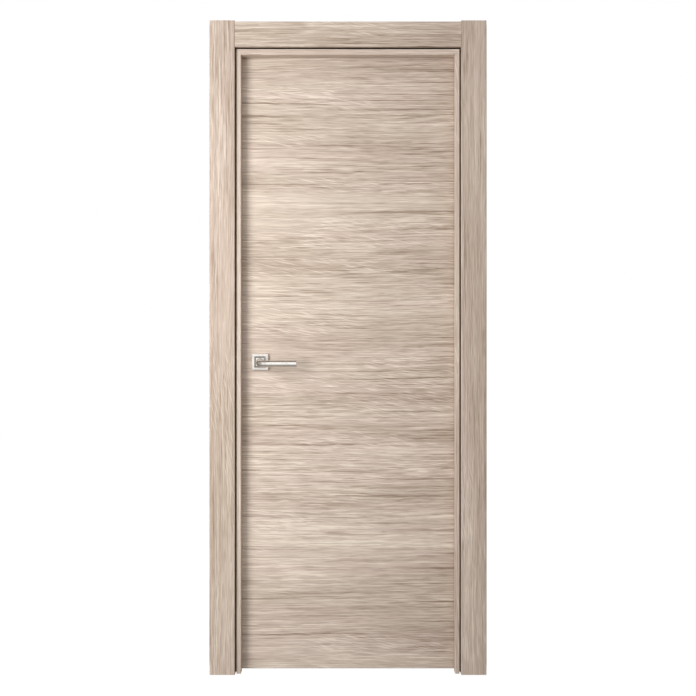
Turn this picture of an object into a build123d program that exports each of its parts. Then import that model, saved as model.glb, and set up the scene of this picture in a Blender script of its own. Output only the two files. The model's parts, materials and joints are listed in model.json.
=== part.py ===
from build123d import *
import os
from math import atan2, cos, hypot, radians, sin, tan

# A flush interior door in its frame: rebated jambs with a mitred head, telescopic casings on both faces of
# the wall, a built-up leaf on three butt hinges, and a lever set with a mortise latch.
# Lengths are in millimetres. +X runs to the hinge side, +Y to the side that the leaf opens to, +Z up.
# The origin is on the wall face of the hinge jamb, at floor level, half way through the frame's depth.

os.makedirs("parts", exist_ok=True)

# Leaf
leaf_width = 725
leaf_height = 2030
leaf_thickness = 40
skin_thickness = 4
hinge_stile_width = 45
latch_stile_width = 120
rail_width = 60
latch_bevel = 2.5  # degrees, so that the closing edge clears the frame as it swings
floor_gap = 5.5
leaf_gap = 5.5  # beside and above the closed leaf

# Frame section, measured from the clear opening into the wall
frame_depth = 72
stop_step = 18.5  # height of the stop above the rebate
rebate_wood = 30  # wood between the rebate and the wall
leaf_set_in = 1  # back of the leaf inside the back edge of the frame
seal_gap = 4  # between the stop and the leaf
moulding_arris = 1
head_ratio = 1.25  # the head is the same section run this much broader

# Casings: a flat plate with a tongue along its inner edge, which slides into a groove of the frame
casing_width = 82
casing_thickness = 10
casing_arris = 2.5
casing_reveal = 14  # bare wood between the rebate and the back casing
leg_overshoot = 3  # legs stand this much above the head casing
tongue_thickness = 8
tongue_length = 12
groove_depth = 18
shadow_slot = 4.5  # open part of the groove beside the casing

# Rubber seal in the stop
seal_centre = 4.5
seal_width = 6
seal_rounding = 2.4
seal_clearance = 0.3
seal_stem_width = 2.8
seal_stem_length = 5.5
seal_slot_width = 3
seal_slot_depth = 6

# Butt hinges
hinge_inset = 200  # from each end of the leaf to the middle of the nearest hinge
hinge_height = 100
hinge_plate_thickness = 2.5
hinge_plate_width = 30
hinge_throw = 10  # from the back of the leaf to the pin
knuckle_count = 3
knuckle_diameter = 14
knuckle_gap = 0.3
knuckle_wall = 4
pin_diameter = 6
pin_clearance = 0.1
pin_cap_diameter = 12
pin_cap_height = 3

# Mortise latch
handle_height = 1016
backset = 73
case_thickness = 16
case_length = 95
case_above = 45
case_below = 75
case_clearance = 0.25
faceplate_length = 165
faceplate_width = 20
faceplate_thickness = 3
bolt_thickness = 12
bolt_height = 30
bolt_length = 24
bolt_slope = 10  # how far back the bolt's leading face slopes
bolt_nose = 2
strike_length = 160
strike_width = 24
strike_thickness = 2
strike_margin = 3  # round the bolt in the strike's hole
strike_pocket = 8
strike_lip_height = 46

# Lever set
spindle_size = 8
spindle_clearance = 0.1
spindle_hole = 22
case_spindle_hole = 13
rose_width = 54
rose_thickness = 8
rose_corner = 2
rose_arris = 1.2
boss_width = 37
boss_height = 6
boss_foot = 0.5  # upright edge below the boss's facets
collar_diameter = 23
collar_length = 16
collar_clearance = 0.2
collar_lift = 0.5  # clear of the leaf
socket_depth = 18
neck_diameter = 20
lever_reach = 50  # from the leaf to the axis of the bar
lever_drop = 5  # bar below the spindle
lever_length = 123  # from the spindle to the tip
bend_radius = 17
bar_diameter = 22.5
bar_arris = 1
cap_length = 9
cap_groove_width = 1.2
cap_groove_depth = 0.7

# Depth of the frame and the leaf
front_y = -frame_depth / 2
back_y = frame_depth / 2
leaf_back_y = back_y - leaf_set_in
leaf_front_y = leaf_back_y - leaf_thickness
leaf_middle_y = (leaf_front_y + leaf_back_y) / 2
core_limits_y = (leaf_front_y + skin_thickness, leaf_back_y - skin_thickness)
stop_back_y = leaf_front_y - seal_gap

# Places across the doorway
jamb_thickness = stop_step + rebate_wood
hinge_rebate_x = -rebate_wood
hinge_opening_x = -jamb_thickness
leaf_hinge_x = hinge_rebate_x - leaf_gap
leaf_latch_x = leaf_hinge_x - leaf_width
latch_rebate_x = leaf_latch_x - leaf_gap
latch_opening_x = latch_rebate_x + stop_step
latch_wall_x = latch_rebate_x - rebate_wood
spindle_x = leaf_latch_x + backset

# Heights
leaf_bottom_z = floor_gap
leaf_top_z = leaf_bottom_z + leaf_height
opening_top_z = leaf_top_z + leaf_gap - head_ratio * stop_step
head_top_z = opening_top_z + head_ratio * jamb_thickness
faceplate_z = handle_height + (case_above - case_below) / 2
hinge_heights = {
    "upper": leaf_top_z - hinge_inset,
    "middle": (leaf_bottom_z + leaf_top_z) / 2,
    "lower": leaf_bottom_z + hinge_inset,
}

# Hinge pin, in the middle of the gap beside the leaf
hinge_axis = ((leaf_hinge_x + hinge_rebate_x) / 2, leaf_back_y + hinge_throw)
hinge_plate_front_y = back_y - hinge_plate_width

# Each jamb: the edge of the clear opening beside it, and the direction from there into the wall
jamb_sides = {"hinge": (hinge_opening_x, 1), "latch": (latch_opening_x, -1)}
# Each face of the wall: the direction that it looks in
wall_faces = {"front": -1, "back": 1}


def save(builder, name):
    """Label a finished piece and write it."""
    builder.part.label = name
    export_step(builder.part, f"parts/{name}.step")


def block(x_limits, y_limits, z_limits, mode=Mode.ADD):
    """Box between two limits along each axis."""
    limits = (x_limits, y_limits, z_limits)
    with Locations(tuple((low + high) / 2 for low, high in limits)):
        Box(*(abs(high - low) for low, high in limits), mode=mode)


def beside(edge, side):
    """Placing function for the section of an upright: u into the wall from the opening, y through it."""
    return lambda u, y: (edge + side * u, y)


def above(u, y):
    """Placing function for the section of a head piece, which is spread by the head's ratio."""
    return (y, opening_top_z + head_ratio * u)


def rectangle(place, u_limits, y_limits):
    """Corners of a rectangle of a section, between limits across and through the wall."""
    u0, u1 = u_limits
    y0, y1 = y_limits
    return [place(u0, y0), place(u1, y0), place(u1, y1), place(u0, y1)]


def nearest(vertices, points):
    """The vertex that is nearest to each point."""
    return [vertices.sort_by_distance(point)[0] for point in points]


def casing_edge(face):
    """Distance from the clear opening to the inner edge of the casing on one face of the wall."""
    return stop_step if face < 0 else stop_step + casing_reveal


def moulding(plane, place, spread):
    """Frame section: stop and rebate, a groove for the casing in each face, and a slot for the seal."""
    slot = shadow_slot / spread
    front_groove = (casing_edge(-1) - slot, casing_edge(-1) + tongue_thickness)
    back_groove = (casing_edge(1) - slot, casing_edge(1) + tongue_thickness)
    half_slot = seal_slot_width / 2 / spread
    cuts = (
        (front_groove, (front_y, front_y + groove_depth)),
        (back_groove, (back_y - groove_depth, back_y)),
        ((seal_centre - half_slot, seal_centre + half_slot), (stop_back_y - seal_slot_depth, stop_back_y)),
    )
    with BuildSketch(plane) as section:
        with BuildLine():
            Polyline(
                place(0, front_y),
                place(0, stop_back_y),
                place(stop_step, stop_back_y),
                place(stop_step, back_y),
                place(jamb_thickness, back_y),
                place(jamb_thickness, front_y),
                close=True,
            )
        make_face()
        for u_limits, y_limits in cuts:
            with BuildLine():
                Polyline(*rectangle(place, u_limits, y_limits), close=True)
            make_face(mode=Mode.SUBTRACT)
        arrises = (place(0, front_y), place(front_groove[0], front_y), place(0, stop_back_y))
        fillet(nearest(section.vertices(), arrises), radius=moulding_arris)
    return section.sketch


def casing_plate(plane, place, spread, face):
    """Section of a casing's flat plate, with both of its front arrises rounded."""
    across = (casing_edge(face), casing_edge(face) + casing_width / spread)
    wall_y = face * frame_depth / 2
    outer_y = wall_y + face * casing_thickness
    with BuildSketch(plane) as section:
        with BuildLine():
            Polyline(*rectangle(place, across, (wall_y, outer_y)), close=True)
        make_face()
        arrises = (place(across[0], outer_y), place(across[1], outer_y))
        fillet(nearest(section.vertices(), arrises), radius=casing_arris)
    return section.sketch


def casing_tongue(plane, place, spread, face):
    """Section of the tongue behind a casing's inner edge."""
    across = (casing_edge(face), casing_edge(face) + tongue_thickness / spread)
    wall_y = face * frame_depth / 2
    with BuildSketch(plane) as section:
        with BuildLine():
            Polyline(*rectangle(place, across, (wall_y - face * tongue_length, wall_y)), close=True)
        make_face()
    return section.sketch


def seal(plane, place, spread):
    """Section of the seal: a rounded bulb on the stop and a stem in the stop's slot."""
    bulb = (seal_centre - seal_width / 2 / spread, seal_centre + seal_width / 2 / spread)
    stem = (seal_centre - seal_stem_width / 2 / spread, seal_centre + seal_stem_width / 2 / spread)
    bulb_y = leaf_front_y - seal_clearance
    with BuildSketch(plane) as section:
        with BuildLine():
            Polyline(*rectangle(place, bulb, (stop_back_y, bulb_y)), close=True)
        make_face()
        fillet(nearest(section.vertices(), (place(bulb[0], bulb_y), place(bulb[1], bulb_y))), seal_rounding)
        with BuildLine():
            Polyline(*rectangle(place, stem, (stop_back_y - seal_stem_length, stop_back_y)), close=True)
        make_face()
    return section.sketch


def mitre(edge, side):
    """Plane of a mitre, from the corner of the clear opening to the outer corner of the frame."""
    return Plane(origin=(edge, 0, opening_top_z), x_dir=(0, 1, 0), z_dir=(-side * head_ratio, 0, 1))


def latch_edge(y):
    """Where the bevelled closing edge of the leaf stands at depth y."""
    return leaf_latch_x + (leaf_back_y - y) * tan(radians(latch_bevel))


def to_latch_edge(x, y_limits):
    """Corners of a slice of the leaf that runs from x to the bevelled closing edge."""
    y0, y1 = y_limits
    return [(x, y0), (x, y1), (latch_edge(y1), y1), (latch_edge(y0), y0)]


def closing_edge_plane(z):
    """Plane on the bevelled closing edge at one height, looking out of the leaf, with its X axis up."""
    lean = radians(latch_bevel)
    origin = (latch_edge(leaf_middle_y), leaf_middle_y, z)
    return Plane(origin=origin, x_dir=(0, 0, 1), z_dir=(-cos(lean), -sin(lean), 0))


def strike_plane():
    """Plane on the latch jamb's rebate at the strike, looking into the opening, with its X axis up."""
    return Plane(origin=(latch_rebate_x, leaf_middle_y, faceplate_z), x_dir=(0, 0, 1), z_dir=(1, 0, 0))


def spindle_plane(y, face):
    """Plane across the spindle at depth y, looking towards one face of the wall."""
    return Plane(origin=(spindle_x, y, handle_height), x_dir=(1, 0, 0), z_dir=(0, face, 0))


def strike_outline(clearance):
    """Outline of the strike: a plate with a lip that guides the bolt over the frame's edge."""
    lip_reach = back_y - leaf_middle_y
    with BuildSketch(strike_plane()) as outline:
        Rectangle(strike_length + 2 * clearance, strike_width + 2 * clearance)
        with Locations((handle_height - faceplate_z, lip_reach / 2)):
            Rectangle(strike_lip_height + 2 * clearance, lip_reach)
    return outline.sketch


def strike_hole():
    """Outline of the hole that the bolt shoots into."""
    with BuildSketch(strike_plane()) as outline:
        with Locations((handle_height - faceplate_z, 0)):
            Rectangle(bolt_height + 2 * strike_margin, bolt_thickness + 2 * strike_margin)
    return outline.sketch


def hinge_limits(height):
    """Bottom and top of a hinge whose middle is at this height."""
    return (height - hinge_height / 2, height + hinge_height / 2)


def hinge_plate(name, edge_x, inward, edge_y, height, own_knuckles):
    """One plate of a hinge: let in flush from edge_x, with every second knuckle round the pin."""
    bottom, top = hinge_limits(height)
    across = (edge_x, edge_x + inward * hinge_plate_thickness)
    pitch = (hinge_height + knuckle_gap) / knuckle_count
    root_y = hinge_axis[1] - knuckle_diameter / 2 + knuckle_wall
    with BuildPart() as plate:
        block(across, (hinge_plate_front_y, edge_y), (bottom, top))
        for index in own_knuckles:
            with BuildSketch(Plane.XY.offset(bottom + index * pitch)):
                with BuildLine():
                    Polyline(*rectangle(lambda x, y: (x, y), across, (edge_y, root_y)), close=True)
                make_face()
                with Locations(hinge_axis):
                    Circle(knuckle_diameter / 2)
                    Circle(pin_diameter / 2 + pin_clearance, mode=Mode.SUBTRACT)
            extrude(amount=pitch - knuckle_gap)
    save(plate, name)


# Jambs: the hinge jamb is recessed for the hinges, the latch jamb for the strike
for side_name, (edge, side) in jamb_sides.items():
    with BuildPart() as jamb:
        extrude(moulding(Plane.XY, beside(edge, side), 1), amount=head_top_z)
        split(bisect_by=mitre(edge, side), keep=Keep.BOTTOM)
        if side_name == "hinge":
            for height in hinge_heights.values():
                recess = (hinge_rebate_x, hinge_rebate_x + hinge_plate_thickness)
                block(recess, (hinge_plate_front_y, back_y), hinge_limits(height), mode=Mode.SUBTRACT)
        else:
            extrude(strike_outline(case_clearance), amount=-strike_thickness, mode=Mode.SUBTRACT)
            extrude(strike_hole(), amount=-(strike_thickness + strike_pocket), mode=Mode.SUBTRACT)
    save(jamb, f"{side_name}_jamb")

# Head of the frame, mitred over both jambs
with BuildPart() as head_jamb:
    extrude(moulding(Plane.YZ.offset(latch_wall_x), above, head_ratio), amount=-latch_wall_x)
    for edge, side in jamb_sides.values():
        split(bisect_by=mitre(edge, side), keep=Keep.TOP)
save(head_jamb, "head_jamb")

# Casings on both faces of the wall: legs run past the head casing, which is cut in between them
for face_name, face in wall_faces.items():
    head_bottom_z = opening_top_z + head_ratio * casing_edge(face)
    leg_top_z = head_bottom_z + casing_width + leg_overshoot
    for side_name, (edge, side) in jamb_sides.items():
        with BuildPart() as leg:
            extrude(casing_plate(Plane.XY, beside(edge, side), 1, face), amount=leg_top_z)
            extrude(casing_tongue(Plane.XY, beside(edge, side), 1, face), amount=head_bottom_z)
        save(leg, f"{face_name}_casing_{side_name}_side")
    head_start_x = latch_opening_x - casing_edge(face)
    head_end_x = hinge_opening_x + casing_edge(face)
    with BuildPart() as head_casing:
        head_plane = Plane.YZ.offset(head_start_x)
        extrude(casing_plate(head_plane, above, head_ratio, face), amount=head_end_x - head_start_x)
        extrude(casing_tongue(head_plane, above, head_ratio, face), amount=head_end_x - head_start_x)
    save(head_casing, f"{face_name}_casing_head")

# Seals: the head seal runs over the tops of the side seals
side_seal_top_z = opening_top_z + head_ratio * seal_centre - seal_width / 2
head_seal_overrun = seal_centre - seal_slot_width / 2
for side_name, (edge, side) in jamb_sides.items():
    with BuildPart() as side_seal:
        extrude(seal(Plane.XY, beside(edge, side), 1), amount=side_seal_top_z)
    save(side_seal, f"{side_name}_side_seal")
with BuildPart() as head_seal:
    head_seal_start_x = latch_opening_x - head_seal_overrun
    head_seal_length = hinge_opening_x + head_seal_overrun - head_seal_start_x
    extrude(seal(Plane.YZ.offset(head_seal_start_x), above, head_ratio), amount=head_seal_length)
save(head_seal, "head_seal")

# Strike plate, flush in the latch jamb
with BuildPart() as strike_plate:
    extrude(strike_outline(0), amount=-strike_thickness)
    extrude(strike_hole(), amount=-strike_thickness, mode=Mode.SUBTRACT)
save(strike_plate, "strike_plate")

# Hinges: frame plates have the outer knuckles, leaf plates those between
for hinge_name, height in hinge_heights.items():
    frame_knuckles = range(0, knuckle_count, 2)
    leaf_knuckles = range(1, knuckle_count, 2)
    hinge_plate(f"{hinge_name}_hinge_frame_plate", hinge_rebate_x, 1, back_y, height, frame_knuckles)
    hinge_plate(f"{hinge_name}_hinge_leaf_plate", leaf_hinge_x, -1, leaf_back_y, height, leaf_knuckles)
    bottom, top = hinge_limits(height)
    with BuildPart() as pin:
        with BuildSketch(Plane.XY.offset(bottom)):
            with Locations(hinge_axis):
                Circle(pin_diameter / 2)
        extrude(amount=hinge_height)
        for cap_z, cap_direction in ((bottom, -1), (top, 1)):
            with BuildSketch(Plane.XY.offset(cap_z)):
                with Locations(hinge_axis):
                    Circle(pin_cap_diameter / 2)
            extrude(amount=cap_direction * pin_cap_height)
    save(pin, f"{hinge_name}_hinge_pin")

# Skins of the leaf, bored for the spindle; the back one is notched for the hinge plates
skin_limits = {
    "front": (leaf_front_y, core_limits_y[0]),
    "back": (core_limits_y[1], leaf_back_y),
}
for face_name, y_limits in skin_limits.items():
    with BuildPart() as skin:
        with BuildSketch(Plane.XY.offset(leaf_bottom_z)):
            with BuildLine():
                Polyline(*to_latch_edge(leaf_hinge_x, y_limits), close=True)
            make_face()
        extrude(amount=leaf_height)
        with BuildSketch(spindle_plane(y_limits[0], 1)):
            Circle(spindle_hole / 2)
        extrude(amount=skin_thickness, mode=Mode.SUBTRACT)
        if face_name == "back":
            for height in hinge_heights.values():
                notch = (leaf_hinge_x - hinge_plate_thickness, leaf_hinge_x)
                block(notch, y_limits, hinge_limits(height), mode=Mode.SUBTRACT)
    save(skin, f"leaf_{face_name}_skin")

# Stile at the hinges, notched for their plates
hinge_stile_x = leaf_hinge_x - hinge_stile_width
with BuildPart() as hinge_stile:
    block((hinge_stile_x, leaf_hinge_x), core_limits_y, (leaf_bottom_z, leaf_top_z))
    for height in hinge_heights.values():
        notch = (leaf_hinge_x - hinge_plate_thickness, leaf_hinge_x)
        block(notch, (hinge_plate_front_y, core_limits_y[1]), hinge_limits(height), mode=Mode.SUBTRACT)
save(hinge_stile, "leaf_hinge_stile")

# Stile at the latch, mortised for the case and recessed for its faceplate
latch_stile_x = leaf_latch_x + latch_stile_width
case_limits_y = (leaf_middle_y - case_thickness / 2, leaf_middle_y + case_thickness / 2)
mortise_limits_y = (case_limits_y[0] - case_clearance, case_limits_y[1] + case_clearance)
case_end_x = leaf_latch_x + case_length
with BuildPart() as latch_stile:
    with BuildSketch(Plane.XY.offset(leaf_bottom_z)):
        with BuildLine():
            Polyline(*to_latch_edge(latch_stile_x, core_limits_y), close=True)
        make_face()
    extrude(amount=leaf_height)
    with BuildSketch(Plane.XY.offset(handle_height - case_below - case_clearance)):
        with BuildLine():
            Polyline(*to_latch_edge(case_end_x + case_clearance, mortise_limits_y), close=True)
        make_face()
    extrude(amount=case_below + case_above + 2 * case_clearance, mode=Mode.SUBTRACT)
    with BuildSketch(closing_edge_plane(faceplate_z)):
        Rectangle(faceplate_length + 2 * case_clearance, faceplate_width + 2 * case_clearance)
    extrude(amount=-faceplate_thickness, mode=Mode.SUBTRACT)
    with BuildSketch(spindle_plane(core_limits_y[0], 1)):
        Circle(spindle_hole / 2)
    extrude(amount=core_limits_y[1] - core_limits_y[0], mode=Mode.SUBTRACT)
save(latch_stile, "leaf_latch_stile")

# Rails and core between the stiles
rail_limits = {
    "leaf_top_rail": (leaf_top_z - rail_width, leaf_top_z),
    "leaf_bottom_rail": (leaf_bottom_z, leaf_bottom_z + rail_width),
    "leaf_core": (leaf_bottom_z + rail_width, leaf_top_z - rail_width),
}
for piece_name, z_limits in rail_limits.items():
    with BuildPart() as filling:
        block((latch_stile_x, hinge_stile_x), core_limits_y, z_limits)
    save(filling, piece_name)

# Latch case with its faceplate, and the bolt drawn back flush with it
with BuildPart() as latch_case:
    with BuildSketch(Plane.XY.offset(handle_height - case_below)):
        with BuildLine():
            Polyline(*to_latch_edge(case_end_x, case_limits_y), close=True)
        make_face()
    extrude(amount=case_below + case_above)
    with BuildSketch(closing_edge_plane(faceplate_z)):
        Rectangle(faceplate_length, faceplate_width)
    extrude(amount=-faceplate_thickness)
    with BuildSketch(closing_edge_plane(handle_height)):
        Rectangle(bolt_height + 2 * case_clearance, bolt_thickness + 2 * case_clearance)
    extrude(amount=-bolt_length, mode=Mode.SUBTRACT)
    with BuildSketch(spindle_plane(case_limits_y[0], 1)):
        Circle(case_spindle_hole / 2)
    extrude(amount=case_thickness, mode=Mode.SUBTRACT)
save(latch_case, "latch_case")

# The bolt's leading face slopes, so that it rides over the strike's lip
bolt_end = closing_edge_plane(handle_height)
with BuildPart() as latch_bolt:
    with BuildSketch(Plane(origin=bolt_end.origin, x_dir=bolt_end.z_dir, z_dir=(0, 0, 1))):
        with BuildLine():
            Polyline(
                (0, -bolt_thickness / 2),
                (0, bolt_nose - bolt_thickness / 2),
                (-bolt_slope, bolt_thickness / 2),
                (-bolt_length, bolt_thickness / 2),
                (-bolt_length, -bolt_thickness / 2),
                close=True,
            )
        make_face()
    extrude(amount=bolt_height / 2, both=True)
save(latch_bolt, "latch_bolt")

# Roses and levers, alike on both faces of the leaf
leaf_faces = {"front": (leaf_front_y, -1), "back": (leaf_back_y, 1)}
lever_slant = atan2(lever_drop, lever_reach)
slant_reach = hypot(lever_drop, lever_reach)
for face_name, (face_y, face) in leaf_faces.items():
    seat = spindle_plane(face_y, face)
    outwards = Axis(seat.origin, seat.z_dir)

    # Square rose with a boss like a cut-off pyramid round the lever
    with BuildPart() as rose:
        with BuildSketch(seat) as plate_outline:
            Rectangle(rose_width, rose_width)
            chamfer(plate_outline.vertices(), length=rose_corner)
        extrude(amount=rose_thickness)
        chamfer(rose.faces().sort_by(outwards)[-1].edges(), length=rose_arris)
        with BuildSketch(seat.offset(rose_thickness)):
            Rectangle(boss_width, boss_width)
        extrude(amount=boss_height)
        chamfer(rose.faces().sort_by(outwards)[-1].edges(), length=boss_height - boss_foot)
        with BuildSketch(seat):
            Circle(collar_diameter / 2 + collar_clearance)
        extrude(amount=rose_thickness + boss_height, mode=Mode.SUBTRACT)
    save(rose, f"{face_name}_rose")

    # Lever: collar in the rose, neck and bend in a plane that leans down a little, round bar with a cap
    neck_direction = Vector(0, face * cos(lever_slant), -sin(lever_slant))
    lever_plane = Plane(
        origin=seat.origin,
        x_dir=(1, 0, 0),
        z_dir=Vector(1, 0, 0).cross(neck_direction),
    )
    with BuildPart() as lever:
        with BuildSketch(seat.offset(collar_lift)):
            Circle(collar_diameter / 2)
        extrude(amount=collar_length - collar_lift)
        with BuildLine(lever_plane) as neck_path:
            FilletPolyline(
                (0, collar_length / 2),
                (0, slant_reach),
                (bend_radius + neck_diameter / 4, slant_reach),
                radius=bend_radius,
            )
        with BuildSketch(Plane(origin=neck_path.line @ 0, z_dir=neck_path.line % 0)):
            Circle(neck_diameter / 2)
        sweep()
        bar_plane = Plane(origin=neck_path.line @ 1, z_dir=neck_path.line % 1)
        bar_length = lever_length - (bend_radius + neck_diameter / 4)
        with BuildSketch(bar_plane):
            Circle(bar_diameter / 2)
        extrude(amount=bar_length)
        chamfer(lever.edges().sort_by(Axis.X)[-1], length=bar_arris)
        with BuildSketch(bar_plane.offset(bar_length - cap_length)):
            Circle(bar_diameter / 2)
            Circle(bar_diameter / 2 - cap_groove_depth, mode=Mode.SUBTRACT)
        extrude(amount=-cap_groove_width, mode=Mode.SUBTRACT)
        with BuildSketch(seat):
            Rectangle(spindle_size + 2 * spindle_clearance, spindle_size + 2 * spindle_clearance)
        extrude(amount=socket_depth, mode=Mode.SUBTRACT)
    save(lever, f"{face_name}_lever")

# Square spindle through the latch, from the bottom of one lever's socket to the other's
with BuildPart() as spindle:
    with BuildSketch(spindle_plane(leaf_front_y - socket_depth, 1)):
        Rectangle(spindle_size, spindle_size)
    extrude(amount=leaf_thickness + 2 * socket_depth)
save(spindle, "spindle")
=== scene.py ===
import json
from math import pi, radians

import bmesh
import bpy
import numpy as np
from bpy.props import FloatProperty, FloatVectorProperty, IntProperty, PointerProperty
from bpy.types import Operator, Panel, PropertyGroup
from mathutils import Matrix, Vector


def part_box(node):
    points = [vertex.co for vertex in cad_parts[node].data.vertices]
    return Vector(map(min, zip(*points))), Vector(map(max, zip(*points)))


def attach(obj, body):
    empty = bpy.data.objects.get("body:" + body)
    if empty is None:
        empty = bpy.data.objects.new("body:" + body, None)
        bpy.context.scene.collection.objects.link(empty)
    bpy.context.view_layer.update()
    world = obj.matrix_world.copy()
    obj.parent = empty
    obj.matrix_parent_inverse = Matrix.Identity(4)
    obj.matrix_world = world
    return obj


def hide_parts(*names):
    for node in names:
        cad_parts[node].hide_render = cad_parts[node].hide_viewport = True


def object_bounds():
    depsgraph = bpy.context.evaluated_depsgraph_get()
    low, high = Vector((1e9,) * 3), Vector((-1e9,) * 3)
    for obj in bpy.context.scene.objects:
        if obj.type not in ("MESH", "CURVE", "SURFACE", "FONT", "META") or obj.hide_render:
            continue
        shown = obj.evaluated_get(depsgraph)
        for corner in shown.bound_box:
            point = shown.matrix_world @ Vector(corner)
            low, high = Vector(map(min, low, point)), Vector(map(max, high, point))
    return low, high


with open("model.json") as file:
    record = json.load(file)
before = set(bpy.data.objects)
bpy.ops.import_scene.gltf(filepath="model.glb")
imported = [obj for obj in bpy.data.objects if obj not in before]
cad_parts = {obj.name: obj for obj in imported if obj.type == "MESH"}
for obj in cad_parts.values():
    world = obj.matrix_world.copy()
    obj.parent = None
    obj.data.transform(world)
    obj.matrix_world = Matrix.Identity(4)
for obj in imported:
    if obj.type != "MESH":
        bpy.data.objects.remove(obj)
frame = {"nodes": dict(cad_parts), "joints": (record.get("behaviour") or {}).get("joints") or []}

bl_info = {
    "name": "Oak Interior Door",
    "version": (1, 0, 0),
    "blender": (4, 5, 0),
    "location": "3D View > Sidebar > Door",
    "description": "Finishes, screws, lever set and studio for a flush oak door in its frame",
    "category": "Object",
}

cad_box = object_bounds()
joints = {joint["name"]: joint for joint in frame["joints"]}
spindle = np.array(joints["lever_turn"]["pos_m"])
leaf_front_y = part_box("leaf_front_skin")[0].y
leaf_back_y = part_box("leaf_back_skin")[1].y
casing_front_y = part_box("front_casing_head")[0].y
casing_back_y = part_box("back_casing_head")[1].y
lever_low, lever_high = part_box("front_lever")
rose_low, rose_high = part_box("front_rose")
door_middle_x = (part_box("front_casing_latch_side")[0].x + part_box("front_casing_hinge_side")[1].x) / 2
hinge_names = ("upper", "middle", "lower")
hinge_screw_turn = 0.7  # radians from one screw's recess to the next
latch_screw_turns = (0.3, 1.1)  # radians
rebate_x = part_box("front_casing_hinge_side")[0].x
leaf_hinge_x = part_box("leaf_hinge_stile")[1].x
edge_lean = (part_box("leaf_front_skin")[0].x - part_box("leaf_back_skin")[0].x) / (
    leaf_back_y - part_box("leaf_front_skin")[1].y
)


def closing_edge(y):
    """Where the leaf's bevelled closing edge stands at one depth."""
    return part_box("leaf_back_skin")[0].x + (leaf_back_y - y) * edge_lean


def srgb(red, green, blue):
    """Linear colour of a display colour given from 0 to 255."""
    levels = np.array([red, green, blue]) / 255
    return tuple(np.where(levels <= 0.04045, levels / 12.92, ((levels + 0.055) / 1.055) ** 2.4))


def colour(label, words, levels):
    """A colour setting with its name, its description and its default in display levels."""
    return FloatVectorProperty(
        name=label, description=words, subtype="COLOR", size=3, min=0, max=1, default=srgb(*levels)
    )


def length(label, words, metres):
    """A length setting with its name, its description and its default in metres."""
    return FloatProperty(name=label, description=words, subtype="DISTANCE", unit="LENGTH", default=metres)


def share(label, words, value, most=1.0):
    """A plain number setting from 0 to the most that makes sense."""
    return FloatProperty(name=label, description=words, min=0, max=most, default=value)


class OakLook(PropertyGroup):
    """Bleached oak of the leaf, the frame and the casings"""

    deep: colour("Deep", "Darkest growth lines", (152, 133, 117))
    shade: colour("Shade", "Dark side of the figure", (190, 173, 159))
    body: colour("Body", "Middle of the figure", (212, 197, 185))
    light: colour("Light", "Pale side of the figure", (224, 210, 198))
    cream: colour("Cream", "Palest flecks", (245, 233, 221))
    blush: colour("Blush", "Warm tint of some bands", (255, 250, 246))
    ash: colour("Ash", "Cool tint of the other bands", (255, 252, 246))
    dash_width: length("Dash width", "Usual width of a fine dash", 0.0024)
    sway: length("Sway", "How far the grain bends to either side", 0.016)
    gloss: share("Roughness", "Roughness of the lacquer", 0.46)
    # The groove colour and the groove settings below are painted shade: a dark colour laid in the grooves
    # beside the casings where shade falls. The stain in their descriptions is that painted shade.
    gap: colour("Gap", "Stain in the grooves beside the casings", (34, 27, 22))
    gap_width: length("Gap width", "Open part of those grooves", 0.0047)
    gap_depth: length("Gap depth", "Depth of those grooves", 0.0182)
    groove_shade_start: length("Gap start", "Depth at which the stain starts", 0.001)
    groove_shade_full: length("Gap full", "Depth at which the stain is full", 0.004)
    groove_shade_slack: length("Gap slack", "How far the stain reaches past both walls", 0.0002)


class MetalLook(PropertyGroup):
    """Satin nickel of the lever set, the hinges and the latch"""

    nickel: colour("Nickel", "Satin nickel", (228, 224, 218))
    worn: colour("Worn", "Handled places, a little darker", (212, 207, 200))
    gloss: share("Roughness", "Roughness of the levers, the hinges and the latch", 0.18)
    rose_gloss: share("Rose roughness", "Roughness of the roses, which are more matt", 0.32)
    brushing: share("Brushing", "How much the brushed lines change the roughness", 0.10)


class SealLook(PropertyGroup):
    """Rubber seal in the stop"""

    rubber: colour("Rubber", "Dark brown rubber", (46, 36, 28))
    dust: colour("Dust", "Bloom on the rubber", (72, 60, 50))


class BoardLook(PropertyGroup):
    """Chipboard inside the leaf"""

    chip: colour("Chip", "Pale chips", (196, 166, 124))
    glue: colour("Glue", "Dark gaps between the chips", (128, 98, 66))
    chip_size: length("Chip size", "Usual size of a chip", 0.005)


class LeverSizes(PropertyGroup):
    """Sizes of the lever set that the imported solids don't give by their boxes"""

    bar_radius: length("Bar radius", "Radius of the lever's bar", 0.01125)
    neck_radius: length("Neck radius", "Radius of the neck and the bend", 0.010)
    bend_radius: length("Bend radius", "Radius of the bend's middle line", 0.017)
    collar_length: length("Collar length", "End of the collar from the leaf", 0.016)
    collar_lift: length("Collar lift", "Start of the collar from the leaf", 0.0005)
    rounding: length("Rounding", "Rounding of the lever's rims", 0.0009)
    cap_length: length("Cap length", "Length of the bar's end cap", 0.009)
    cap_groove: length("Cap groove", "Width of the groove before the cap", 0.0012)
    groove_depth: length("Groove depth", "Depth of the groove before the cap", 0.0007)
    rose_thickness: length("Rose thickness", "Thickness of the square plate", 0.008)
    rose_corner: length("Rose corner", "Rounding of the plate's corners", 0.002)
    rose_rim: length("Rose rim", "Rounding of the plate's front rim", 0.0012)
    boss_base: length("Boss base", "Half the boss at the plate", 0.0185)
    boss_top: length("Boss top", "Half the boss at its top", 0.013)
    boss_rim: length("Boss rim", "Rounding of the boss's edges", 0.0006)
    bore_radius: length("Bore radius", "Hole round the lever's collar", 0.0117)
    around: IntProperty(name="Points around", description="Points round a section", default=48, min=16)


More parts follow.
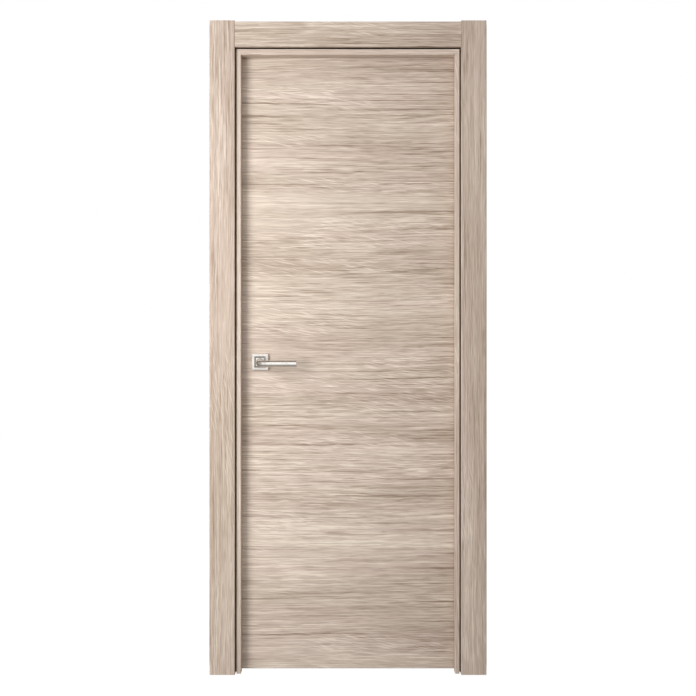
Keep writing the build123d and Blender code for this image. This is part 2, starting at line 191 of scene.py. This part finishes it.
class ScrewSizes(PropertyGroup):
    """Countersunk screws of the hinges, the strike and the faceplate"""

    head_radius: length("Head radius", "Radius of a screw's head", 0.0042)
    crown: length("Crown", "Height of the head's crown over the plate", 0.0004)
    sunk: length("Sunk", "How far the head goes into the plate", 0.0006)
    recess_radius: length("Recess radius", "Reach of the cross recess", 0.0024)
    recess_width: length("Recess width", "Width of the cross recess", 0.0011)
    recess_depth: length("Recess depth", "Depth of the cross recess", 0.0006)
    hinge_pitch: length("Hinge pitch", "Between screws along a hinge plate", 0.036)
    hinge_stagger: length("Hinge stagger", "Middle screw's shift across the plate", 0.007)
    end_inset: length("End inset", "From a latch plate's end to its screw", 0.010)


class StudioLook(PropertyGroup):
    """Floor, light and camera"""

    floor: colour("Floor", "Pale floor", (115, 115, 115))
    floor_size: length("Floor size", "Side of the square floor", 14.0)
    floor_white: share("Floor white", "How much of the floor is plain white to the camera", 0.88)
    floor_glow: share("Floor glow", "Strength of that plain white", 1.12, 2.0)
    ambient: share("Ambient", "Even light from all round", 0.66)
    front: share("Front", "What metal sees in front and behind", 1.36, 2.0)
    pole: share("Pole", "What metal sees straight above and below", 0.10)
    side_dimming: share("Side dimming", "How far metal's sides fall from the front to that", 0.68)
    side_start: share("Side start", "Sideways part of a direction where that dimming starts", 0.30)
    side_end: share("Side end", "Sideways part of a direction where it is full", 0.80)
    pole_start: share("Pole start", "Upright part of a direction where the dark starts", 0.66)
    pole_end: share("Pole end", "Upright part of a direction where it is full", 0.97)
    foot: length("Foot", "How far the floor in front of the door looks dark in metal", 2.4)
    key_power: FloatProperty(name="Key power", description="Lamp in front", unit="POWER", default=39)
    back_power: FloatProperty(name="Back power", description="Lamp behind", unit="POWER", default=34)
    key_width: length("Key width", "Width of the key lamp", 0.95)
    key_height: length("Key height", "Height of the key lamp", 1.7)
    key_left: length("Key left", "Key lamp to the left of the door's middle", 1.55)
    key_out: length("Key out", "Key lamp in front of the casing", 1.45)
    key_up: length("Key up", "Key lamp over the floor", 1.4)
    camera_out: length("Camera out", "Camera in front of the casing", 2.65)
    camera_up: length("Camera up", "Camera over the floor", 1.0619)
    camera_side: length("Camera side", "Camera to the left of the door's middle", 0.0)
    photo_side: IntProperty(name="Photo side", description="Width of the photograph in pixels", default=696)
    photo_focus: FloatProperty(name="Photo focus", description="Focal length in its pixels", default=816)


class DoorLook(PropertyGroup):
    """All the settings of the door"""

    oak: PointerProperty(type=OakLook)
    metal: PointerProperty(type=MetalLook)
    seal: PointerProperty(type=SealLook)
    board: PointerProperty(type=BoardLook)
    lever: PointerProperty(type=LeverSizes)
    screw: PointerProperty(type=ScrewSizes)
    studio: PointerProperty(type=StudioLook)


class Field:
    """One socket of a node tree. Arithmetic on it adds Math nodes, and node() adds any other kind."""

    def __init__(self, tree, socket=None):
        self.tree = tree
        self.socket = socket

    def node(self, kind, settings=None, inputs=None, output=0):
        """Add a node of one kind: its settings first, then the values or links of its sockets."""
        made = self.tree.nodes.new(kind)
        settings = dict(settings or {})
        stops = settings.pop("stops", ())
        for name, value in settings.items():
            setattr(made, name, value)
        for index, (position, level) in enumerate(stops):
            ends = len(made.color_ramp.elements)
            stop = made.color_ramp.elements[index] if index < ends else made.color_ramp.elements.new(position)
            stop.position = position
            stop.color = (*level, 1)
        for key, value in (inputs or {}).items():
            if isinstance(value, Field):
                self.tree.links.new(value.socket, made.inputs[key])
            else:
                made.inputs[key].default_value = value
        return Field(self.tree, made.outputs[output])

    def math(self, operation, *values):
        """A Math node of one operation on values or fields, in their order."""
        return self.node("ShaderNodeMath", {"operation": operation}, dict(enumerate(values)))

    def __add__(self, other):
        return self.math("ADD", self, other)

    def __radd__(self, other):
        return self.math("ADD", other, self)

    def __sub__(self, other):
        return self.math("SUBTRACT", self, other)

    def __rsub__(self, other):
        return self.math("SUBTRACT", other, self)

    def __mul__(self, other):
        return self.math("MULTIPLY", self, other)

    def __rmul__(self, other):
        return self.math("MULTIPLY", other, self)

    def __truediv__(self, other):
        return self.math("DIVIDE", self, other)

    def axes(self):
        """The three parts of a vector."""
        made = self.node("ShaderNodeSeparateXYZ", None, {0: self}).socket.node
        return [Field(self.tree, made.outputs[index]) for index in range(3)]

    def step(self, low, high):
        """Smooth step of a value from 0 at low to 1 at high."""
        return self.node(
            "ShaderNodeMapRange",
            {"interpolation_type": "SMOOTHSTEP"},
            {"Value": self, "From Min": low, "From Max": high},
        )

    def mix(self, first, second):
        """Colour mix of two colours by this value."""
        colours = {0: self, 6: (*first, 1), 7: (*second, 1)}
        return self.node("ShaderNodeMix", {"data_type": "RGBA"}, colours, 2)

    def rays(self):
        """Whether a ray comes from the camera, from a reflection or through glass."""
        sockets = self.node("ShaderNodeLightPath").socket.node.outputs
        return [Field(self.tree, sockets[f"Is {kind} Ray"]) for kind in ("Camera", "Glossy", "Transmission")]


class Finish(Field):
    """A material under making: object coordinates to read and one Principled surface to feed."""

    def __init__(self, name):
        self.material = bpy.data.materials.new(name)
        self.material.use_nodes = True
        super().__init__(self.material.node_tree)
        self.surface = self.tree.nodes["Principled BSDF"]
        self.place = self.node("ShaderNodeTexCoord", None, None, "Object")

    def noise(self, parts, detail=2.0, roughness=0.5):
        """Noise over a vector of three parts that are already scaled, about 0.5."""
        vector = self.node("ShaderNodeCombineXYZ", None, dict(enumerate(parts)))
        inputs = {"Vector": vector, "Scale": 1, "Detail": detail, "Roughness": roughness}
        return self.node("ShaderNodeTexNoise", None, inputs)

    def feed(self, **sockets):
        """Set or link sockets of the surface, with spaces of their names written as underscores."""
        for key, value in sockets.items():
            target = self.surface.inputs[key.replace("_", " ")]
            if isinstance(value, Field):
                self.tree.links.new(value.socket, target)
            else:
                target.default_value = value

    def bump(self, height, distance, strength):
        """Bump node over a height field, for the surface's normal."""
        inputs = {"Height": height, "Distance": distance, "Strength": strength}
        return self.node("ShaderNodeBump", None, inputs)


def groove_shade_mask(finish, along, look):
    """Painted shade: 1 in the grooves beside the casings and 0 elsewhere.

    A groove reaches from a casing's inner edge towards the opening by its width, which is measured across
    the grain of the piece. The painted shade, a dark colour where shade falls in the groove, starts a little
    behind the frame's face and ends with the groove.
    """
    x, y, z = finish.place.axes()
    frame_low, frame_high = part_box("latch_jamb")
    middle = look.gap_width / 2
    inside = 0.0
    for face, behind in (("front", y - frame_low.y), ("back", frame_high.y - y)):
        if along == "X":
            edges = [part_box(f"{face}_casing_head")[0].z - z]
        else:
            edges = [
                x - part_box(f"{face}_casing_latch_side")[1].x,
                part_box(f"{face}_casing_hinge_side")[0].x - x,
            ]
        deep = behind.step(look.groove_shade_start, look.groove_shade_full)
        for inwards in edges:
            within = inwards.math("COMPARE", inwards, middle, middle + look.groove_shade_slack)
            inside = inside + within * deep * behind.math("LESS_THAN", behind, look.gap_depth)
    return inside


def oak_finish(name, along, seed, contrast, tone, look, painted_falloff=0.0, with_groove_shade=False):
    """Bleached oak with its grain along one axis.

    a runs along the grain and c across it, both in metres. Slow and ragged noise bend c a little. Broad
    bands and a soft figure over the bent c set the tone. Marks are the islands of a stretched noise above
    a level: long dark lines, long and short pale ones, and pale flecks slanting over the grain. The short
    marks and the flecks keep to patches. A tone above or below 0 makes the whole piece paler or darker.
    A falloff makes it paler or darker per metre along the grain: painted shade that stands in for the
    light fading across the piece. Pieces with grooves shaded get painted shade: a dark colour in the
    grooves beside the casings, where shade falls.
    """
    finish = Finish(name)
    x, y, z = finish.place.axes()
    a, c = (x, z + y) if along == "X" else (z, x + y)
    slow = finish.noise((a * 1.1, c * 2.6, seed), 1) - 0.5
    ragged = finish.noise((a * 24, c * 60, seed + 2.7), 1) - 0.5
    bent = c + slow * (2 * look.sway) + ragged * (0.2 * look.sway)

    def marks(along_scale, across_scale, shift, low, high):
        return finish.noise((a * along_scale, bent * across_scale, seed + shift), 1).step(low, high)

    bands = finish.noise((a * 0.5, bent * 8, seed + 5.1), 2) - 0.5
    figure = finish.noise((a * 1.6, bent * 75, seed + 8.3), 3, 0.6) - 0.5
    dashes = finish.noise((a * 16, bent / look.dash_width, seed + 11.9), 2, 0.55) - 0.5
    pale_patches = 0.25 + 0.75 * marks(1.2, 11, 14.2, 0.44, 0.62)
    dark_patches = 0.25 + 0.75 * marks(1.4, 13, 17.4, 0.44, 0.62)
    lines = marks(1.6, 150, 20.6, 0.62, 0.70)
    dark = lines * 0.26 + marks(7, 310, 23.3, 0.56, 0.62) * dark_patches * 0.24
    pale = marks(3.5, 290, 26.8, 0.56, 0.62) * 0.22 + marks(12, 340, 29.5, 0.54, 0.60) * pale_patches * 0.36
    slanted = finish.noise((a * 14, (bent + a * 0.2) * 230, seed + 32.1), 1).step(0.56, 0.66)
    flecks = slanted * marks(1.6, 9, 35.7, 0.56, 0.64) * 0.32

    fine = dashes + pale + flecks - dark
    # The falloff term is painted shade: the piece grows darker along the grain, standing in for the key light
    # fading away from the lamp.
    grain = bands * 0.9 + figure * 0.6 + fine + (a * painted_falloff + tone)
    stops = (
        (0.0, tuple(look.deep)),
        (0.28, tuple(look.shade)),
        (0.50, tuple(look.body)),
        (0.70, tuple(look.light)),
        (1.0, tuple(look.cream)),
    )
    wood = finish.node("ShaderNodeValToRGB", {"stops": stops}, {0: 0.5 + grain * contrast})
    tint = marks(0.9, 16, 38.9, 0.38, 0.62).mix(tuple(look.blush), tuple(look.ash))
    tinted = {"data_type": "RGBA", "blend_type": "MULTIPLY"}
    wood = finish.node("ShaderNodeMix", tinted, {0: 1.0, 6: wood, 7: tint}, 2)
    # Painted shade: the grooves beside the casings are darkened where shade falls in them.
    if with_groove_shade:
        groove_shade_mix = {0: groove_shade_mask(finish, along, look), 6: wood, 7: (*look.gap, 1)}
        wood = finish.node("ShaderNodeMix", {"data_type": "RGBA"}, groove_shade_mix, 2)
    finish.feed(
        Base_Color=wood,
        Roughness=look.gloss - dashes * 0.3 + dark * 0.2,
        Normal=finish.bump(fine, 0.0003, 0.3),
    )
    finish.surface.inputs["Specular IOR Level"].default_value = 0.38
    return finish.material


def nickel_finish(name, along, gloss, look):
    """Satin nickel: fine lines along one axis change the roughness, and slow noise darkens it a little."""
    finish = Finish(name)
    x, y, z = finish.place.axes()
    fine = (14, 2600, 2600) if along == "X" else (2600, 2600, 14)
    lines = finish.noise((x * fine[0], y * fine[1], z * fine[2]), 2)
    wear = finish.noise((x * 40, y * 40, z * 40), 3, 0.6).step(0.42, 0.72)
    finish.feed(
        Base_Color=wear.mix(tuple(look.nickel), tuple(look.worn)),
        Metallic=1.0,
        Roughness=gloss + (lines - 0.5) * look.brushing + wear * 0.05,
        Normal=finish.bump(lines, 0.00002, 0.25),
    )
    return finish.material


def rubber_finish(name, look):
    """Dark rubber with a slight bloom and a fine matt grain."""
    finish = Finish(name)
    x, y, z = finish.place.axes()
    bloom = finish.noise((x * 60, y * 60, z * 8), 3).step(0.45, 0.75)
    grain = finish.noise((x * 1800, y * 1800, z * 900), 2)
    finish.feed(
        Base_Color=bloom.mix(tuple(look.rubber), tuple(look.dust)),
        Roughness=0.62 + bloom * 0.15,
        Normal=finish.bump(grain, 0.0001, 0.3),
    )
    return finish.material


def board_finish(name, look):
    """Chipboard: cells of pale chips with dark gaps of glue between them."""
    finish = Finish(name)
    cells = finish.node("ShaderNodeTexVoronoi", None, {"Vector": finish.place, "Scale": 1 / look.chip_size})
    x, y, z = finish.place.axes()
    cloud = finish.noise((x * 130, y * 130, z * 130), 3)
    glue = (cells + (cloud - 0.5) * 0.5).step(0.35, 0.85)
    finish.feed(
        Base_Color=glue.mix(tuple(look.chip), tuple(look.glue)),
        Roughness=0.82 + cloud * 0.1,
        Normal=finish.bump(1 - glue, 0.0003, 0.5),
    )
    return finish.material


def dress(material, *names):
    """Give CAD nodes a finish."""
    for name in names:
        for slot in frame["nodes"][name].material_slots:
            slot.material = material


def loop_faces(rows, columns, closed):
    """Quads of a grid of points that is closed along its columns and, if asked, along its rows."""
    row = np.arange(rows if closed else rows - 1)[:, None]
    column = np.arange(columns)[None, :]
    after, beside = (row + 1) % rows, (column + 1) % columns
    here, there = row * columns, after * columns
    corners = (here + column, here + beside, there + beside, there + column)
    return np.stack(np.broadcast_arrays(*corners), axis=-1).reshape(-1, 4)


def add_piece(name, points, faces, body, material, crease=35):
    """Make a mesh object from arrays, with faces turned outwards, and let it ride on a body."""
    mesh = bpy.data.meshes.new(name)
    mesh.from_pydata(points.tolist(), [], [face.tolist() for group in faces for face in group])
    work = bmesh.new()
    work.from_mesh(mesh)
    bmesh.ops.recalc_face_normals(work, faces=work.faces)
    work.to_mesh(mesh)
    work.free()
    mesh.shade_smooth()
    mesh.set_sharp_from_angle(angle=radians(crease))
    mesh.materials.append(material)
    piece = bpy.data.objects.new(name, mesh)
    bpy.context.scene.collection.objects.link(piece)
    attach(piece, body)
    return piece


def rounding(count):
    """Sine and one minus cosine of a quarter turn, for a rounded rim in that many steps."""
    turn = np.linspace(0, pi / 2, count)
    return np.sin(turn), 1 - np.cos(turn)


def lever_path(travel, lift, reach, bend, drop):
    """Middle line of a lever after some travel from the leaf: straight out, a quarter bend, straight along.

    The bend's angle is the travel past the neck over its radius, held between 0 and a quarter turn.
    Along is radius times (1 - cos angle) plus what travel is left; out is the neck plus radius times
    sin angle. The line sinks by the drop in a smooth step of out.
    """
    neck = reach - bend - lift
    angle = np.clip((travel - neck) / bend, 0, pi / 2)
    along = bend * (1 - np.cos(angle)) + np.maximum(travel - neck - bend * pi / 2, 0)
    out = lift + np.minimum(travel, neck) + bend * np.sin(angle)
    share_out = np.clip((out - 0.4 * reach) / (0.6 * reach), 0, 1)
    return np.stack([along, out, -drop * share_out**2 * (3 - 2 * share_out)], axis=-1)


def lever_collar_radius():
    """The collar is the leftmost part of the lever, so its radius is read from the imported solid."""
    return spindle[0] - lever_low.x


def lever_section(sizes, total, bar_start):
    """Travel and radius of each ring of a lever: collar, neck, bar, groove and cap, with rounded rims."""
    rise, inset = rounding(5)
    rim = sizes.rounding
    collar = lever_collar_radius()
    collar_end = sizes.collar_length - sizes.collar_lift
    groove = total - sizes.cap_length - sizes.cap_groove
    bend_start = np.linspace(collar_end + rim, bar_start, 26)
    travel = np.concatenate([
        [0, collar_end - rim],
        collar_end - rim + rim * rise,
        bend_start,
        bar_start + rim * inset,
        [groove, groove, groove + sizes.cap_groove, groove + sizes.cap_groove],
        total - rim + rim * rise,
    ])
    bar, dip = sizes.bar_radius, sizes.bar_radius - sizes.groove_depth
    radius = np.concatenate([
        [collar, collar],
        collar - rim * inset,
        np.full(bend_start.size, sizes.neck_radius),
        bar - rim + rim * rise,
        [bar, dip, dip, bar],
        bar - rim * inset,
    ])
    return travel, radius


def lever_surface(sizes, face, face_y):
    """Rings round the lever's middle line, each a circle across the line, with a point at both ends."""
    reach = leaf_front_y - lever_low.y - sizes.bar_radius
    drop = spindle[2] - lever_low.z - sizes.bar_radius
    tip = lever_high.x - spindle[0]
    shape = (sizes.collar_lift, reach, sizes.bend_radius, drop)
    bend_end = reach - sizes.bend_radius - sizes.collar_lift + sizes.bend_radius * pi / 2
    total = bend_end + tip - sizes.bend_radius
    travel, radius = lever_section(sizes, total, bend_end + sizes.neck_radius / 2)
    small = sizes.rounding / 10
    middle = lever_path(travel, *shape)
    tangent = lever_path(travel + small, *shape) - lever_path(travel - small, *shape)
    tangent /= np.linalg.norm(tangent, axis=1, keepdims=True)
    up = np.array([0, 0, 1]) - tangent[:, 2:] * tangent
    up /= np.linalg.norm(up, axis=1, keepdims=True)
    side = np.cross(tangent, up)
    turn = np.linspace(0, 2 * pi, sizes.around, endpoint=False)[None, :, None]
    circles = np.cos(turn) * up[:, None] + np.sin(turn) * side[:, None]
    rings = middle[:, None] + radius[:, None, None] * circles
    points = np.concatenate([rings.reshape(-1, 3), middle[:1], middle[-1:]])
    return np.array([spindle[0], face_y, spindle[2]]) + points * [1, face, 1], len(travel)


def end_fans(rows, columns):
    """Triangles from the two end points of a tube to its first and last rings."""
    column = np.arange(columns)
    beside = (column + 1) % columns
    first = np.stack([np.full(columns, rows * columns), beside, column], axis=-1)
    start = (rows - 1) * columns
    last = np.stack([np.full(columns, rows * columns + 1), start + column, start + beside], axis=-1)
    return np.concatenate([first, last])


def rounded_square(half, corner, around):
    """Outline of a square with rounded corners: the corner's middle plus its radius along each angle."""
    turn = (np.arange(around) + 0.5) * 2 * pi / around
    direction = np.stack([np.cos(turn), np.sin(turn)], axis=-1)
    return (half - corner)[:, None, None] * np.sign(direction) + corner[:, None, None] * direction


def rose_surface(sizes, face, face_y):
    """Rings of a rose from its back edge over the rim, the plate, the boss and down the bore."""
    rise, inset = rounding(6)
    thickness, rim, boss_rim = sizes.rose_thickness, sizes.rose_rim, sizes.boss_rim
    half_width = (rose_high.x - rose_low.x) / 2
    top = leaf_front_y - rose_low.y
    bore = sizes.bore_radius
    half = np.concatenate([
        [half_width], half_width - rim * inset, [sizes.boss_base, sizes.boss_top + boss_rim / 2],
        [sizes.boss_top - boss_rim, bore + boss_rim, bore, bore],
    ])
    out = np.concatenate([
        [0], thickness - rim + rim * rise, [thickness, top - boss_rim / 2], [top, top, top - boss_rim, 0],
    ])
    corner = np.concatenate([
        [sizes.rose_corner], sizes.rose_corner - 0.5 * rim * inset, [boss_rim, boss_rim],
        [boss_rim, bore + boss_rim, bore, bore],
    ])
    flat = rounded_square(half, corner, sizes.around)
    height = np.broadcast_to(out[:, None], flat.shape[:2])
    points = np.stack([flat[..., 0], face * height, flat[..., 1]], axis=-1).reshape(-1, 3)
    return np.array([spindle[0], face_y, spindle[2]]) + points, len(half)


def screw_surface(sizes, around=32):
    """Rings of one screw head: a low crown with a cross recess, a rim, and a flat underside.

    The crown falls with the square of the radius. The recess is a smooth step of the distance from the
    nearer arm of the cross, fading out at the recess's reach.
    """
    ring = np.concatenate([np.linspace(0.08, 1, 14), [1.0, 0.6]]) * sizes.head_radius
    turn = np.linspace(0, 2 * pi, around, endpoint=False)
    across, along = ring[:, None] * np.cos(turn), ring[:, None] * np.sin(turn)
    arm = np.minimum(abs(across), abs(along))
    in_arm = 1 - np.clip((arm - 0.35 * sizes.recess_width) / (0.3 * sizes.recess_width), 0, 1)
    in_reach = 1 - np.clip((ring / sizes.recess_radius - 0.85) / 0.3, 0, 1)
    crown = sizes.crown * (1 - (ring / sizes.head_radius) ** 2)
    height = crown[:, None] - sizes.recess_depth * in_arm * in_reach[:, None]
    height[-2:] = -sizes.sunk
    rings = np.stack([across, along, height], axis=-1).reshape(-1, 3)
    poles = np.array([[0, 0, sizes.crown - sizes.recess_depth], [0, 0, -sizes.sunk]])
    faces = [loop_faces(len(ring), around, False), end_fans(len(ring), around)]
    return np.concatenate([rings, poles]), faces


def add_screws(name, centres, normal, turns, body, material, sizes):
    """Copies of one screw head at several centres, looking along a normal, each turned by its own angle."""
    head, faces = screw_surface(sizes)
    normal = np.array(normal, float)
    normal /= np.linalg.norm(normal)
    up = np.array([0.0, 0.0, 1.0])
    side = np.cross(up, normal)
    turns = np.asarray(turns)[:, None, None]
    first = np.cos(turns) * side + np.sin(turns) * up
    second = np.cos(turns) * up - np.sin(turns) * side
    points = np.asarray(centres)[:, None] + head[:, :1] * first + head[:, 1:2] * second + head[:, 2:] * normal
    shift = np.arange(len(centres))[:, None, None] * len(head)
    groups = [(group[None] + shift).reshape(-1, group.shape[1]) for group in faces]
    return add_piece(name, points.reshape(-1, 3), groups, body, material)


class DressLeaf(Operator):
    """Oak skins with the grain across, oak edges with the grain along them, and chipboard inside"""

    bl_idname = "door.dress_leaf"
    bl_label = "Dress the leaf"

    def execute(self, context):
        look = context.scene.door_look
        # The leaf skins get painted shade: darker towards the hinge side, away from the key lamp, where the
        # light falls off.
        skin = oak_finish("leaf oak across", "X", 3.0, 1.0, -0.14, look.oak, painted_falloff=-0.24)
        dress(skin, "leaf_front_skin", "leaf_back_skin")
        stile = oak_finish("leaf stile oak", "Z", 41.0, 0.8, -0.03, look.oak)
        dress(stile, "leaf_hinge_stile", "leaf_latch_stile")
        rail = oak_finish("leaf rail oak", "X", 59.0, 0.8, -0.03, look.oak)
        dress(rail, "leaf_top_rail", "leaf_bottom_rail")
        dress(board_finish("leaf chipboard", look.board), "leaf_core")
        return {"FINISHED"}


class DressFrame(Operator):
    """Oak jambs and casings with the grain along each piece, and rubber seals"""

    bl_idname = "door.dress_frame"
    bl_label = "Dress the frame"

    def execute(self, context):
        look = context.scene.door_look
        # Jambs and casings get painted shade in the grooves beside the casings.
        jamb = oak_finish("jamb oak upright", "Z", 95.0, 0.7, -0.03, look.oak, with_groove_shade=True)
        dress(jamb, "hinge_jamb", "latch_jamb")
        head = oak_finish("jamb oak across", "X", 131.0, 0.7, -0.02, look.oak, with_groove_shade=True)
        dress(head, "head_jamb")
        upright = oak_finish("casing oak upright", "Z", 77.0, 0.7, -0.18, look.oak, with_groove_shade=True)
        across = oak_finish("casing oak across", "X", 113.0, 0.8, -0.23, look.oak, with_groove_shade=True)
        for face in ("front", "back"):
            dress(upright, f"{face}_casing_hinge_side", f"{face}_casing_latch_side")
            dress(across, f"{face}_casing_head")
        dress(rubber_finish("seal rubber", look.seal), "hinge_side_seal", "latch_side_seal", "head_seal")
        return {"FINISHED"}


class BuildLevers(Operator):
    """Lever and rose on each face of the leaf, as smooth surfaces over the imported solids"""

    bl_idname = "door.build_levers"
    bl_label = "Build the lever set"

    def execute(self, context):
        look = context.scene.door_look
        satin = nickel_finish("lever satin nickel", "X", look.metal.gloss, look.metal)
        matt = nickel_finish("rose matt nickel", "X", look.metal.rose_gloss, look.metal)
        dress(satin, "spindle")
        for name, face, face_y in (("front", -1, leaf_front_y), ("back", 1, leaf_back_y)):
            around = look.lever.around
            points, rows = lever_surface(look.lever, face, face_y)
            faces = [loop_faces(rows, around, False), end_fans(rows, around)]
            lever = add_piece(f"{name}_lever_bar", points, faces, "levers", satin)
            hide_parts(f"{name}_lever")
            points, rows = rose_surface(look.lever, face, face_y)
            faces = [loop_faces(rows, around, True)]
            rose = add_piece(f"{name}_rose_plate", points, faces, "leaf", matt)
            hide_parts(f"{name}_rose")
        return {"FINISHED"}


class DressHinges(Operator):
    """Satin nickel hinges with three screws in each plate"""

    bl_idname = "door.dress_hinges"
    bl_label = "Dress the hinges"

    def execute(self, context):
        look = context.scene.door_look
        sizes = look.screw
        satin = nickel_finish("hinge satin nickel", "Z", look.metal.gloss, look.metal)
        plate_faces = {"frame": (rebate_x, -1), "leaf": (leaf_hinge_x, 1)}
        for side, (plate_x, outwards) in plate_faces.items():
            boxes = [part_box(f"{hinge}_hinge_{side}_plate") for hinge in hinge_names]
            dress(satin, *(f"{hinge}_hinge_{side}_plate" for hinge in hinge_names))
            rows = np.array([-1, 0, 1])
            middle_z = np.array([(low.z + high.z) / 2 for low, high in boxes])
            z = (middle_z[:, None] + rows * sizes.hinge_pitch).ravel()
            middle_y = (boxes[0][0].y + leaf_back_y) / 2
            y = np.tile(middle_y + sizes.hinge_stagger * (1 - 2 * abs(rows)), len(boxes))
            centres = np.stack([np.full_like(z, plate_x), y, z], axis=-1)
            turns = hinge_screw_turn * np.arange(len(z))
            name, normal = f"hinge_{side}_screws", (outwards, 0, 0)
            add_screws(name, centres, normal, turns, side, satin, sizes)
        dress(satin, *(f"{hinge}_hinge_pin" for hinge in hinge_names))
        return {"FINISHED"}


class DressLatch(Operator):
    """Satin nickel latch and strike, each with two screws"""

    bl_idname = "door.dress_latch"
    bl_label = "Dress the latch"

    def execute(self, context):
        look = context.scene.door_look
        sizes = look.screw
        satin = nickel_finish("latch satin nickel", "Z", look.metal.gloss, look.metal)
        dress(satin, "latch_case", "latch_bolt", "strike_plate")
        middle_y = (leaf_front_y + leaf_back_y) / 2
        plates = {
            "strike_screws": ("strike_plate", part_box("strike_plate")[1].x, (1, 0, 0), "frame"),
            "faceplate_screws": ("latch_case", closing_edge(middle_y), (-1, -edge_lean, 0), "leaf"),
        }
        for name, (plate, plate_x, normal, body) in plates.items():
            low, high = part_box(plate)
            centres = [(plate_x, middle_y, z) for z in (low.z + sizes.end_inset, high.z - sizes.end_inset)]
            add_screws(name, centres, normal, latch_screw_turns, body, satin, sizes)
        return {"FINISHED"}


class BuildStudio(Operator):
    """Pale floor, a soft lamp on each side of the wall, white surroundings and the photograph's camera"""

    bl_idname = "door.build_studio"
    bl_label = "Build the studio"

    def execute(self, context):
        studio = context.scene.door_look.studio
        add_floor(studio)
        light_world(context.scene, studio)
        add_lamp("key lamp", studio.key_power, casing_front_y, -1, studio)
        add_lamp("back lamp", studio.back_power, casing_back_y, 1, studio)
        add_camera(context.scene, studio)
        context.scene.view_settings.view_transform = "Standard"
        return {"FINISHED"}


def add_floor(studio):
    """Square matt floor at the door's foot, mostly plain white to the camera, in metal and through glass."""
    half = studio.floor_size / 2
    corners = np.array([[-1, -1, 0], [1, -1, 0], [1, 1, 0], [-1, 1, 0]]) * half + [door_middle_x, 0, 0]
    mesh = bpy.data.meshes.new("studio_floor")
    mesh.from_pydata(corners.tolist(), [], [(0, 1, 2, 3)])
    finish = Finish("floor white")
    finish.feed(Base_Color=(*studio.floor, 1), Roughness=0.9)
    camera, mirrored, through = finish.rays()
    depth = finish.place.axes()[1]
    away = depth.math("ABSOLUTE", depth).step(0, studio.foot)
    seen = (camera + through + mirrored * away) * studio.floor_white
    glow = finish.node("ShaderNodeEmission", None, {"Color": (1, 1, 1, 1), "Strength": studio.floor_glow})
    matt = Field(finish.tree, finish.surface.outputs[0])
    mixed = finish.node("ShaderNodeMixShader", None, {0: seen, 1: matt, 2: glow})
    finish.tree.links.new(mixed.socket, finish.tree.nodes["Material Output"].inputs["Surface"])
    mesh.materials.append(finish.material)
    floor = bpy.data.objects.new("studio_floor", mesh)
    bpy.context.scene.collection.objects.link(floor)


def light_world(scene, studio):
    """White surroundings: plain white to the camera and even as light.

    Metal sees them dimmer at both sides and dark straight above and below.
    """
    world = bpy.data.worlds.new("white studio")
    world.use_nodes = True
    scene.world = world
    field = Field(world.node_tree)
    camera, mirrored, through = field.rays()
    across, _, up = field.node("ShaderNodeTexCoord", None, None, "Generated").axes()
    sideways = across.math("ABSOLUTE", across).step(studio.side_start, studio.side_end)
    upright = up.math("ABSOLUTE", up).step(studio.pole_start, studio.pole_end)
    dimming = sideways * studio.side_dimming + upright
    level = studio.front - dimming * (studio.front - studio.pole)
    seen = camera + through
    strength = seen + (1 - seen) * (studio.ambient + mirrored * (level - studio.ambient))
    background = world.node_tree.nodes["Background"]
    background.inputs["Color"].default_value = (1, 1, 1, 1)
    world.node_tree.links.new(strength.socket, background.inputs["Strength"])


def add_lamp(name, power, face_y, side, studio):
    """Large soft lamp to the left of one face of the door, turned to the middle of that face."""
    light = bpy.data.lights.new(name, "AREA")
    light.energy = power
    light.shape = "RECTANGLE"
    light.size, light.size_y = studio.key_width, studio.key_height
    lamp = bpy.data.objects.new(name, light)
    lamp.location = (door_middle_x - studio.key_left, face_y + side * studio.key_out, studio.key_up)
    target = Vector((door_middle_x, face_y, cad_box[1][2] / 2))
    lamp.rotation_euler = (target - lamp.location).to_track_quat("-Z", "Y").to_euler()
    lamp.visible_glossy = False
    bpy.context.scene.collection.objects.link(lamp)


def add_camera(scene, studio):
    """Level camera straight in front of the door, with the photograph's focal length."""
    camera = bpy.data.cameras.new("photo camera")
    camera.sensor_width = 36
    camera.lens = camera.sensor_width * studio.photo_focus / studio.photo_side
    eye = bpy.data.objects.new("photo camera", camera)
    eye.location = (door_middle_x - studio.camera_side, casing_front_y - studio.camera_out, studio.camera_up)
    eye.rotation_euler = (pi / 2, 0, 0)
    scene.collection.objects.link(eye)
    scene.camera = eye


class DoorPanel(Panel):
    """Settings and steps of the door"""

    bl_idname = "VIEW3D_PT_oak_door"
    bl_label = "Oak Interior Door"
    bl_space_type = "VIEW_3D"
    bl_region_type = "UI"
    bl_category = "Door"

    def draw(self, context):
        look = context.scene.door_look
        for group in (look.oak, look.metal, look.seal, look.board, look.lever, look.screw, look.studio):
            box = self.layout.box()
            box.label(text=group.bl_rna.description)
            for name in group.__annotations__:
                box.prop(group, name)
        for step in steps:
            self.layout.operator(step.bl_idname)


steps = (DressLeaf, DressFrame, BuildLevers, DressHinges, DressLatch, BuildStudio)
settings = (OakLook, MetalLook, SealLook, BoardLook, LeverSizes, ScrewSizes, StudioLook, DoorLook)


def register():
    for part in (*settings, *steps, DoorPanel):
        bpy.utils.register_class(part)
    bpy.types.Scene.door_look = PointerProperty(type=DoorLook)


def unregister():
    del bpy.types.Scene.door_look
    for part in reversed((*settings, *steps, DoorPanel)):
        bpy.utils.unregister_class(part)


def main():
    """Register the add-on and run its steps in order."""
    register()
    bpy.ops.door.dress_leaf()
    bpy.ops.door.dress_frame()
    bpy.ops.door.build_levers()
    bpy.ops.door.dress_hinges()
    bpy.ops.door.dress_latch()
    bpy.ops.door.build_studio()


if __name__ == "__main__":
    main()
